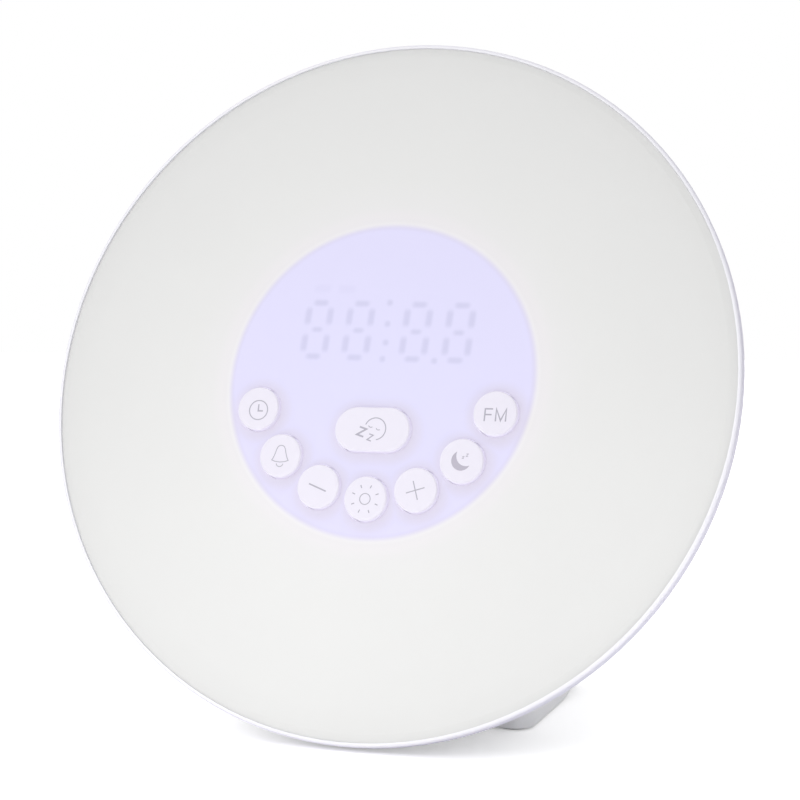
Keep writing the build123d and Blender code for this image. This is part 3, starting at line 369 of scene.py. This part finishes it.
digitMarks = {
    "middle": (0.985, 12.0),      # of the four digits together
    "turn": 1.1,
    "pairOffset": 12.56,          # middle of two digits from the middle of four
    "digitOffset": 5.305,         # digit's middle from the middle of its pair
    "slant": 0.035,               # sideways shift for each unit up
    "bars": [                     # centre, half size and width of the blurred edge, in a quarter
        ((0.0, 6.65), (0.9, 0.12), (1.6, 1.1)),
        ((0.0, 0.0), (0.45, 0.05), (1.5, 1.05)),
        ((2.785, 3.35), (0.2, 1.1), (1.15, 1.7)),
    ],
    "dots": [(0.95, 13.78), (0.92, 9.19), (1.06, 19.0), (0.51, 5.17), (13.42, 4.85)],
    "dotSize": ((0.1, 0.1), (1.1, 1.1)),
    "colour": (0.86, 0.865, 0.89, 1),     # what a mark leaves of the light
    "faint": [(-16.5, 22.6), (-10.2, 22.4)],
    "faintSize": ((1.2, 0.2), (1.8, 1.4)),
    "faintColour": (0.965, 0.965, 0.975, 1),
}


# How far a point lies outside a flat bar, in widths of the bar's blurred edge
def barGap(tree, place, centre, half, soft=(1, 1)):
    steps = (
        ("SUBTRACT", (*centre, 0)), ("ABSOLUTE", (0, 0, 0)), ("SUBTRACT", (*half, 0)),
        ("MAXIMUM", (0, 0, 0)), ("DIVIDE", (*soft, 1)),
    )
    for operation, operand in steps:
        place = addNode(tree, "VectorMath", {0: place, 1: operand}, operation=operation).outputs[0]
    return addNode(tree, "VectorMath", {0: place}, operation="LENGTH").outputs["Value"]


# 1 where the least of the gaps is up to start, fading to 0 at end
def nearShare(tree, gaps, start=0.0, end=1.0):
    nearest = gaps[0]
    for gap in gaps[1:]:
        nearest = addNode(tree, "Math", {0: nearest, 1: gap}, operation="MINIMUM").outputs[0]
    return addNode(tree, "MapRange", {0: nearest, 1: start, 2: end, 3: 1.0, 4: 0.0},
                   interpolation_type="SMOOTHSTEP").outputs[0]


# Folds the face about the middle of the four digits, of two and of one, so that one quarter of
# an eight draws them all
def quarterDigit(tree, face):
    centred = addNode(tree, "VectorMath", {0: face, 1: (*digitMarks["middle"], 0)},
                      operation="SUBTRACT").outputs[0]
    level = addNode(tree, "VectorRotate", {
        "Vector": centred, "Angle": radians(digitMarks["turn"]),
    }, rotation_type="Z_AXIS").outputs[0]
    parts = addNode(tree, "SeparateXYZ", {0: level})
    across = addNode(tree, "Math", {
        0: parts.outputs[1], 1: -digitMarks["slant"], 2: parts.outputs[0],
    }, operation="MULTIPLY_ADD").outputs[0]
    for offset in (0.0, digitMarks["pairOffset"], digitMarks["digitOffset"]):
        shifted = addNode(tree, "Math", {0: across, 1: offset}, operation="SUBTRACT").outputs[0]
        across = addNode(tree, "Math", {0: shifted}, operation="ABSOLUTE").outputs[0]
    rise = addNode(tree, "Math", {0: parts.outputs[1]}, operation="ABSOLUTE").outputs[0]
    return addNode(tree, "CombineXYZ", {0: across, 1: rise}).outputs[0]


# Gaps to the keys' painted shadows: shade that dims the glow, for the backlight that the keys hold back and the
# shadow that they cast to their lower right. A long key's painted shadow is a bar.
def keyPaintedShadowGaps(tree, face):
    roundWidth = frame["nodes"]["key_sun"].dimensions.x
    gaps = []
    for key, node in frame["nodes"].items():
        if not key.startswith("key_") or key == "key_switches":
            continue
        offset = faceTurn.transposed() @ (frontOf(key) - faceCentre)
        centre = [offset[i] / mm + display["shadeShift"][i] for i in (0, 1)]
        gaps.append(barGap(tree, face, centre, ((node.dimensions.x - roundWidth) / 2 / mm, 0)))
    return gaps


def makeOpalPanel():
    material = grained("opalAcrylic", {
        "colours": ("#D2D2D1", "#D0D0CF"), "cloud": 25, "grain": 0.4, "roughness": (0.42, 0.5),
        "bump": 0.03,
    }, {"IOR": 1.49, "Emission Strength": 1.0})
    tree = material.node_tree
    shader = tree.nodes["Principled BSDF"]
    face = facePlace(tree)

    # Light that shines through, by distance from the display's middle
    reach = addNode(tree, "VectorMath", {0: face, 1: (*display["middle"], 0)},
                    operation="DISTANCE").outputs["Value"]
    reachShare = addNode(tree, "Math", {0: reach, 1: display["glowReach"]},
                         operation="DIVIDE").outputs[0]
    glow = addNode(tree, "ValToRGB", {0: reachShare}, stops=[
        (radius / display["glowReach"], (*light, 1)) for radius, light in display["glow"]
    ]).outputs[0]
    outside = addNode(tree, "MapRange", {
        0: reach, 1: display["radius"] - display["edge"], 2: display["radius"] + display["edge"],
    }, interpolation_type="SMOOTHSTEP").outputs[0]
    ownColour = shader.inputs["Base Color"].links[0].from_socket
    colour = addNode(tree, "Mix", {0: outside, 6: linear(display["colour"]), 7: ownColour},
                     data_type="RGBA").outputs[2]

    # The marks dim both the light and the sheet, and the keys' painted shadows the light alone
    quarter = quarterDigit(tree, face)
    bars = [barGap(tree, quarter, *bar) for bar in digitMarks["bars"]]
    dots = [barGap(tree, face, dot, *digitMarks["dotSize"]) for dot in digitMarks["dots"]]
    faint = [barGap(tree, face, mark, *digitMarks["faintSize"]) for mark in digitMarks["faint"]]
    marks = [
        (nearShare(tree, bars + dots), digitMarks["colour"]),
        (nearShare(tree, faint), digitMarks["faintColour"]),
    ]
    nearKeyPaintedShadow = nearShare(tree, keyPaintedShadowGaps(tree, face), display["shadeStart"], display["shadeEnd"])
    glow = tinted(tree, glow, marks + [(nearKeyPaintedShadow, display["keyPaintedShadow"])])
    walls = addNode(tree, "VectorMath", {0: (display["wallGlow"],) * 3, "Scale": wallShare(tree)},
                    operation="SCALE").outputs[0]
    glow = addNode(tree, "VectorMath", {0: glow, 1: walls}, operation="ADD").outputs[0]
    tree.links.new(tinted(tree, colour, marks), shader.inputs["Base Color"])
    tree.links.new(glow, shader.inputs["Emission Color"])
    return material


# Strength of the light that leaves a key through its top and its sides
keyLight = {"top": 0.085, "sides": 0.24, "colour": "#EEE8FF"}


# Translucent polycarbonate, finely textured. The board's LEDs light a key, most of all through
# its sides.
def makeKeyCap():
    material = grained("keyPolycarbonate", {
        "colours": ("#D1CED8", "#CECBD5"), "cloud": 3, "grain": 0.25, "roughness": (0.38, 0.48),
        "bump": 0.04,
    }, {"IOR": 1.58, "Emission Color": linear(keyLight["colour"])})
    tree = material.node_tree
    glow = addNode(tree, "MapRange", {
        0: wallShare(tree), 3: keyLight["top"], 4: keyLight["sides"],
    }).outputs[0]
    tree.links.new(glow, tree.nodes["Principled BSDF"].inputs["Emission Strength"])
    return material


plainLooks = {
    "housing_white": ("satinAbs", absLook, absConstants),
    # Thermoplastic rubber, matt and slightly dusty
    "rubber_grey": ("softRubber", {
        "colours": ("#8C8C91", "#838388"), "cloud": 4, "grain": 0.3, "roughness": (0.75, 0.9),
        "bump": 0.25,
    }, {"IOR": 1.5, "Specular IOR Level": 0.3}),
    # Glass-filled nylon, matt white, with the fibres' faint flow
    "chassis_white": ("whiteNylon", {
        "colours": ("#DCDCDA", "#D3D3D1"), "cloud": 12, "grain": 0.4, "stretch": (1, 1, 0.3),
        "roughness": (0.45, 0.6), "bump": 0.1,
    }, {"IOR": 1.53}),
    # Green solder mask over copper: pale tracks with a soft edge, glossy
    "circuit_board": ("solderMask", {
        "colours": ("#0E5433", "#12603A"), "cloud": 6, "grain": 0.3, "roughness": (0.22, 0.36),
        "bump": 0.12,
        "pattern": {
            "kind": "TexVoronoi", "settings": {"feature": "DISTANCE_TO_EDGE"}, "spacing": 3.0,
            "inputs": {"Randomness": 0.75}, "output": "Distance", "edges": (0.035, 0.015),
            "colour": "#2C8A55", "depth": 0.8,
        },
    }, {"IOR": 1.55}),
    # Black glass-filled nylon, dull with a fine texture
    "black_part": ("blackNylon", {
        "colours": ("#18181A", "#1F1F21"), "cloud": 2, "grain": 0.15, "roughness": (0.45, 0.6),
        "bump": 0.15,
    }, {"IOR": 1.53}),
    # White LED package with the yellow phosphor clouding it
    "led_package": ("ledPackage", {
        "colours": ("#F3EFD8", "#EDE29E"), "cloud": 1.6, "grain": 0.3, "roughness": (0.25, 0.4),
        "bump": 0.05,
    }, {"IOR": 1.5}),
    # Diffusing resin of the digits' segments, pale violet
    "digit_glow": ("segmentResin", {
        "colours": ("#DAD8F6", "#D0CEF0"), "cloud": 1.5, "grain": 0.2, "roughness": (0.4, 0.5),
        "bump": 0.06,
    }, {"IOR": 1.5}),
    # Zinc-plated steel: bright grey, drawn along the sheet, with a slight spangle
    "steel": ("zincPlatedSteel", {
        "colours": ("#B9BBBE", "#A6A9AD"), "cloud": 1.5, "grain": 0.12, "stretch": (1, 1, 0.15),
        "roughness": (0.26, 0.42), "bump": 0.1,
    }, {"Metallic": 1.0}),
    # Bright nickel plate, slightly warm, with faint polishing marks
    "nickel": ("brightNickel", {
        "colours": ("#D2CFC8", "#C9C6BF"), "cloud": 3, "grain": 0.1, "stretch": (0.1, 1, 1),
        "roughness": (0.14, 0.24), "bump": 0.04,
    }, {"Metallic": 1.0}),
    # Sintered ferrite and its iron plates: dark grey, rough with small pits
    "magnet_iron": ("sinteredFerrite", {
        "colours": ("#3A3A3D", "#48484C"), "cloud": 1.5, "grain": 0.25, "roughness": (0.5, 0.7),
        "bump": 0.35,
        # The darker colour in the sunk pits is painted shade
        "pattern": {
            "kind": "TexVoronoi", "settings": {"feature": "F1"}, "spacing": 0.7, "inputs": {},
            "output": "Distance", "edges": (0.16, 0.1), "colour": "#29292B", "depth": -0.8,
        },
    }, {"IOR": 1.6}),
    # Enamelled copper wire, wound turn by turn along the coil's axis. Real turns are too fine to
    # show, so they are drawn coarser.
    "copper_coil": ("enamelledCopper", {
        "colours": ("#B5693F", "#A65C34"), "cloud": 1, "grain": 0.2, "roughness": (0.25, 0.4),
        "bump": 0.3,
        # The darker colour in the sunk grooves between the turns is painted shade
        "pattern": {
            "kind": "TexWave", "settings": {"bands_direction": "Y"}, "spacing": 1.5708,
            "inputs": {"Distortion": 0.2}, "output": "Fac", "edges": (0.35, 0.1),
            "colour": "#5E2F18", "depth": -1.0,
        },
    }, {"Metallic": 1.0}),
    # Pressed black paper: dull, with short fibres
    "cone_paper": ("pressedPaper", {
        "colours": ("#1B1B1D", "#262629"), "cloud": 0.9, "grain": 0.3, "stretch": (1, 0.25, 1),
        "roughness": (0.75, 0.9), "bump": 0.5,
    }, {"IOR": 1.45}),
    # Closed-cell black foam
    "foam": ("blackFoam", {
        "colours": ("#1A1A1B", "#232324"), "cloud": 0.8, "grain": 0.3, "roughness": (0.85, 0.95),
        "bump": 0.5,
        # The darker colour in the sunk cells is painted shade
        "pattern": {
            "kind": "TexVoronoi", "settings": {"feature": "F1"}, "spacing": 0.4, "inputs": {},
            "output": "Distance", "edges": (0.3, 0.1), "colour": "#0E0E0F", "depth": -1.0,
        },
    }, {"IOR": 1.4}),
    # Grey vinyl flat cable and leads, with grooves along them. One between each pair of cores
    # would be too fine to show, so they are drawn wider apart.
    "cable_grey": ("greyVinyl", {
        "colours": ("#A9AAAD", "#A2A3A6"), "cloud": 5, "grain": 0.3, "roughness": (0.4, 0.52),
        "bump": 0.25,
        # The darker colour in the sunk grooves is painted shade
        "pattern": {
            "kind": "TexWave", "settings": {"bands_direction": "X"}, "spacing": 7.5398,
            "inputs": {}, "output": "Fac", "edges": (0.16, 0.03), "colour": "#7E7F83",
            "depth": -1.0,
        },
    }, {"IOR": 1.53}),
    # Double-sided foam tape, soft white
    "tape": ("foamTape", {
        "colours": ("#E4E2DC", "#DCDAD3"), "cloud": 3, "grain": 0.3, "roughness": (0.7, 0.85),
        "bump": 0.25,
    }, {"IOR": 1.45}),
}
materialsByNode = {"rear_shell": makeRimAbsPaintedShade()}
materialsBySlot = {"opal_panel": makeOpalPanel(), "key_white": makeKeyCap()}
for slotName, (name, look, constants) in plainLooks.items():
    materialsBySlot[slotName] = grained(name, look, constants)

slotOf = {part["node"]: part["material_slot"] for part in frame["record"]["subparts"]}
for name, node in frame["nodes"].items():
    node.data.materials.clear()
    node.data.materials.append(materialsByNode.get(name, materialsBySlot[slotOf[name]]))

print("stage 4: symbols on the keys")

# Grey pad-printed ink: a thin, even, slightly matt film, a little paler on the moon
inkLook = {"cloud": 1.5, "grain": 0.15, "roughness": (0.5, 0.6), "bump": 0.03}
inkConstants = {"IOR": 1.5}
symbolInk = grained("padPrintedInk", {
    **inkLook, "colours": ("#A9A6B3", "#A5A2AF"),
}, inkConstants)
moonInk = grained("padPrintedInkPale", {
    **inkLook, "colours": ("#AFAAB8", "#ABA6B4"),
}, inkConstants)
ink = {
    "thickness": 0.03,
    "sunk": 0.01,                 # below the key's top
    "hair": 0.2,                  # widths of a line
    "fine": 0.25,
    "bold": 0.34,
    "mitreLimit": 0.35,           # the smaller, the further a sharp corner may run out
    "merge": 1e-5,
}


# A flat stroke of even width along points, with mitred corners
def stroke(bm, points, width):
    places = [Vector((x, y, 0)) for x, y in points]
    steps = [(b - a).normalized() for a, b in zip(places, places[1:])]
    rails = []
    for i, place in enumerate(places):
        before, after = steps[max(i - 1, 0)], steps[min(i, len(steps) - 1)]
        along = (before + after).normalized()
        side = Vector((-along.y, along.x, 0))
        mitre = max(side.dot(Vector((-before.y, before.x, 0))), ink["mitreLimit"])
        reach = width / 2 / mitre
        rails.append([bm.verts.new(place + side * reach * sign) for sign in (1, -1)])
    for (a, b), (c, d) in zip(rails, rails[1:]):
        bm.faces.new((a, b, d, c))


# A flat arc of even width about a centre, from one angle through a turn
def arc(bm, centre, radius, width, start, turn, steps=40):
    angle = radians(start)
    ends = [
        bm.verts.new((centre[0] + r * cos(angle), centre[1] + r * sin(angle), 0))
        for r in (radius - width / 2, radius + width / 2)
    ]
    edge = bm.edges.new(ends)
    bmesh.ops.spin(bm, geom=ends + [edge], cent=(*centre, 0), axis=(0, 0, 1),
                   angle=radians(turn), steps=steps, use_merge=turn == 360)


# Places a flat drawing in millimetres on a key's top, gives it the ink's thickness and lets it
# ride on the key
def finishSymbol(bm, keyName, material):
    bmesh.ops.remove_doubles(bm, verts=bm.verts, dist=ink["merge"])
    raised = bmesh.ops.extrude_face_region(bm, geom=bm.faces[:])["geom"]
    bmesh.ops.translate(bm, vec=(0, 0, ink["thickness"] + ink["sunk"]),
                        verts=[part for part in raised if isinstance(part, bmesh.types.BMVert)])
    bmesh.ops.translate(bm, vec=(0, 0, -ink["sunk"]), verts=bm.verts)
    bmesh.ops.recalc_face_normals(bm, faces=bm.faces)
    top = Matrix.Translation(frontOf("key_" + keyName)) @ faceTurn.to_4x4() @ Matrix.Scale(mm, 4)
    bm.transform(top)
    piece = finishMesh(bm, "symbol_" + keyName, material)
    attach(piece, "key_" + keyName)


# Points turned about the origin and then moved
def turned(points, degreesAround, move=(0, 0)):
    turn = Matrix.Rotation(radians(degreesAround), 2)
    return [turn @ Vector(point) + Vector(move) for point in points]


def letterZ(width, height):
    x, y = width / 2, height / 2
    return [(-x, y), (x, y), (-x, -y), (x, -y)]


clockSymbol = {
    "place": (0.17, -0.42), "radius": 2.35,
    "elbow": (-0.07, -0.2),       # where the hands meet, from the middle
    "upHand": 1.6, "sideHand": 1.22,
}
bm = bmesh.new()
arc(bm, clockSymbol["place"], clockSymbol["radius"], ink["fine"], 90, 360)
x, y = [a + b for a, b in zip(clockSymbol["place"], clockSymbol["elbow"])]
hands = [(x, y + clockSymbol["upHand"]), (x, y), (x + clockSymbol["sideHand"], y)]
stroke(bm, hands, ink["bold"])
finishSymbol(bm, "clock", symbolInk)

bellSymbol = {
    "middle": 0.08,
    "rightHalf": [(0, 2.47), (0.45, 2.37), (0.82, 2.1), (1.08, 1.6), (1.3, 0.8), (1.57, -0.05),
                  (1.82, -0.65), (2.12, -1.13), (1.2, -1.45), (0, -1.58)],
    "clapper": {"centre": (0.08, -1.82), "radius": 0.86, "start": 188, "turn": 164, "steps": 20},
}
bm = bmesh.new()
rightHalf = bellSymbol["rightHalf"]
leftHalf = [(-x, y) for x, y in reversed(rightHalf)]
stroke(bm, [(x + bellSymbol["middle"], y) for x, y in leftHalf + rightHalf[1:]], ink["hair"])
arc(bm, width=ink["hair"], **bellSymbol["clapper"])
finishSymbol(bm, "bell", symbolInk)

minusSymbol = {"place": (-0.1, -0.25), "length": 4.7, "turn": -20.8}
bm = bmesh.new()
half = minusSymbol["length"] / 2
stroke(bm, turned([(-half, 0), (half, 0)], minusSymbol["turn"], minusSymbol["place"]), ink["bold"])
finishSymbol(bm, "minus", symbolInk)

# The upright is in two halves that end at the bar
plusSymbol = {"place": (0, -0.08), "length": 4.6, "turn": 18.0}
bm = bmesh.new()
half, gap = plusSymbol["length"] / 2, ink["fine"] / 2
for line in ([(-half, 0), (half, 0)], [(0, half), (0, gap)], [(0, -gap), (0, -half)]):
    stroke(bm, turned(line, plusSymbol["turn"], plusSymbol["place"]), ink["fine"])
finishSymbol(bm, "plus", symbolInk)

sunSymbol = {
    "place": (-0.03, -0.13), "radius": 1.29,
    "rays": 8, "rayStart": 2.75, "rayEnd": 3.5, "turn": 22.5,
}
bm = bmesh.new()
arc(bm, sunSymbol["place"], sunSymbol["radius"], ink["hair"], 0, 360)
for i in range(sunSymbol["rays"]):
    ray = [(sunSymbol["rayStart"], 0), (sunSymbol["rayEnd"], 0)]
    angle = sunSymbol["turn"] + 360 * i / sunSymbol["rays"]
    stroke(bm, turned(ray, angle, sunSymbol["place"]), ink["fine"])
finishSymbol(bm, "sun", symbolInk)

# The crescent lies between two circles and ends in the two horns where they cross
moonSymbol = {
    "place": (-0.07, 0.1), "radius": 2.34, "steps": 24,
    "bite": (1.2, 1.18),          # middle of the circle that cuts it, from the moon's own
    "biteRadius": 2.45,
    "letters": [(0.4, 0.46, (0.35, 0.84)), (0.5, 0.6, (1.3, 1.39))],     # width, height, place
    "letterLine": 0.15,
}
bm = bmesh.new()
middle, bite = Vector(moonSymbol["place"]), Vector(moonSymbol["bite"])
apart, heading = bite.length, atan2(bite.y, bite.x)
along = (moonSymbol["radius"] ** 2 - moonSymbol["biteRadius"] ** 2 + apart ** 2) / (2 * apart)
across = sqrt(moonSymbol["radius"] ** 2 - along ** 2)
circles = (
    (middle, moonSymbol["radius"], atan2(across, along)),
    (middle + bite, moonSymbol["biteRadius"], atan2(across, along - apart)),
)
steps = moonSymbol["steps"]
rows = []
for centre, radius, horn in circles:
    turns = [heading + horn + (tau - 2 * horn) * i / steps for i in range(steps + 1)]
    rows.append([(centre.x + radius * cos(t), centre.y + radius * sin(t), 0) for t in turns])
outerEdge = [bm.verts.new(place) for place in rows[0]]
innerEdge = [outerEdge[0], *[bm.verts.new(place) for place in rows[1][1:-1]], outerEdge[-1]]
for i in range(steps):
    corners = (outerEdge[i], outerEdge[i + 1], innerEdge[i + 1], innerEdge[i])
    bm.faces.new(list(dict.fromkeys(corners)))     # the faces at the horns are triangles
for width, height, place in moonSymbol["letters"]:
    stroke(bm, turned(letterZ(width, height), 0, place), moonSymbol["letterLine"])
finishSymbol(bm, "moon", moonInk)

radioSymbol = {
    "base": -1.9, "top": 1.0,
    "slant": 0.025,               # sideways shift for each unit up
    "f": (-2.4, -0.58),           # left and right ends of the letters
    "m": (0.25, 2.63),
    "bar": (-0.8, -0.35),         # right end and height of the letter F's bar
    "dip": 0.2,                   # of the letter M's middle, above the base
}
bm = bmesh.new()
base, top = radioSymbol["base"], radioSymbol["top"]
(fLeft, fRight), (mLeft, mRight) = radioSymbol["f"], radioSymbol["m"]
barEnd, barHeight = radioSymbol["bar"]
letters = [
    [(fLeft, base), (fLeft, top), (fRight, top)],
    [(fLeft + ink["bold"] / 2, barHeight), (barEnd, barHeight)],
    [(mLeft, base), (mLeft, top), ((mLeft + mRight) / 2, base + radioSymbol["dip"]),
     (mRight, top), (mRight, base)],
]
for letter in letters:
    stroke(bm, [(x + radioSymbol["slant"] * y, y) for x, y in letter], ink["bold"])
finishSymbol(bm, "radio", symbolInk)

# A sleeping face: a round outline, open at the lower left, with two closed eyes, and two letters
snoozeSymbol = {
    "outline": {"centre": (0.8, 0.08), "radius": 2.62, "start": -80, "turn": 238, "steps": 48},
    "eyes": [(-0.3, 1.02), (1.63, 0.42)],
    "eyeRadius": 0.6, "eyeTurn": 110, "eyeSteps": 12,
    "tilt": -17.6,
    "letters": [                  # width, height, place and width of the line
        (1.75, 1.95, (-2.5, -0.69), 0.42),
        (1.05, 1.45, (-0.25, -2.0), 0.28),
    ],
}
bm = bmesh.new()
arc(bm, width=ink["fine"], **snoozeSymbol["outline"])
eyeStart = 270 + snoozeSymbol["tilt"] - snoozeSymbol["eyeTurn"] / 2     # 270 is straight down
for eye in snoozeSymbol["eyes"]:
    arc(bm, eye, snoozeSymbol["eyeRadius"], ink["hair"], eyeStart, snoozeSymbol["eyeTurn"],
        snoozeSymbol["eyeSteps"])
for width, height, place, weight in snoozeSymbol["letters"]:
    stroke(bm, turned(letterZ(width, height), snoozeSymbol["tilt"], place), weight)
finishSymbol(bm, "snooze", symbolInk)

print("stage 5: the loudspeaker's edge")

# The rubber roll is clamped outside and goes with the cone inside. A blend runs along one straight line, so the
# roll is cut into sectors, each on its own radius.
surround = {
    "sectors": 12,
    "foot": 18.6,                 # radii between which the roll bends
    "coneFoot": 16.8,
    "merge": 0.001,
    "cutSlack": 0.0001,           # nearer than this, a point lies on the cut
}


def makeSurround():
    whole = frame["nodes"]["speaker_surround"]
    low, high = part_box("speaker_surround")
    middle = (Vector(low) + Vector(high)) / 2
    spread = tau / surround["sectors"]
    for i in range(surround["sectors"]):
        bm = bmesh.new()
        bm.from_mesh(whole.data)
        bmesh.ops.remove_doubles(bm, verts=bm.verts, dist=surround["merge"] * mm)
        for side in (-1, 1):
            turn = (i + side / 2) * spread
            found = bmesh.ops.bisect_plane(
                bm, geom=bm.verts[:] + bm.edges[:] + bm.faces[:], dist=surround["cutSlack"] * mm,
                plane_co=middle, plane_no=Vector((-sin(turn), 0, cos(turn))) * side,
                clear_outer=True,
            )["geom_cut"]
            bmesh.ops.holes_fill(bm, edges=[e for e in found if isinstance(e, bmesh.types.BMEdge)])
        sector = finishMesh(bm, f"surroundSector{i + 1}", whole.data.materials[0])
        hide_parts("speaker_surround")
        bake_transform(sector)


makeSurround()
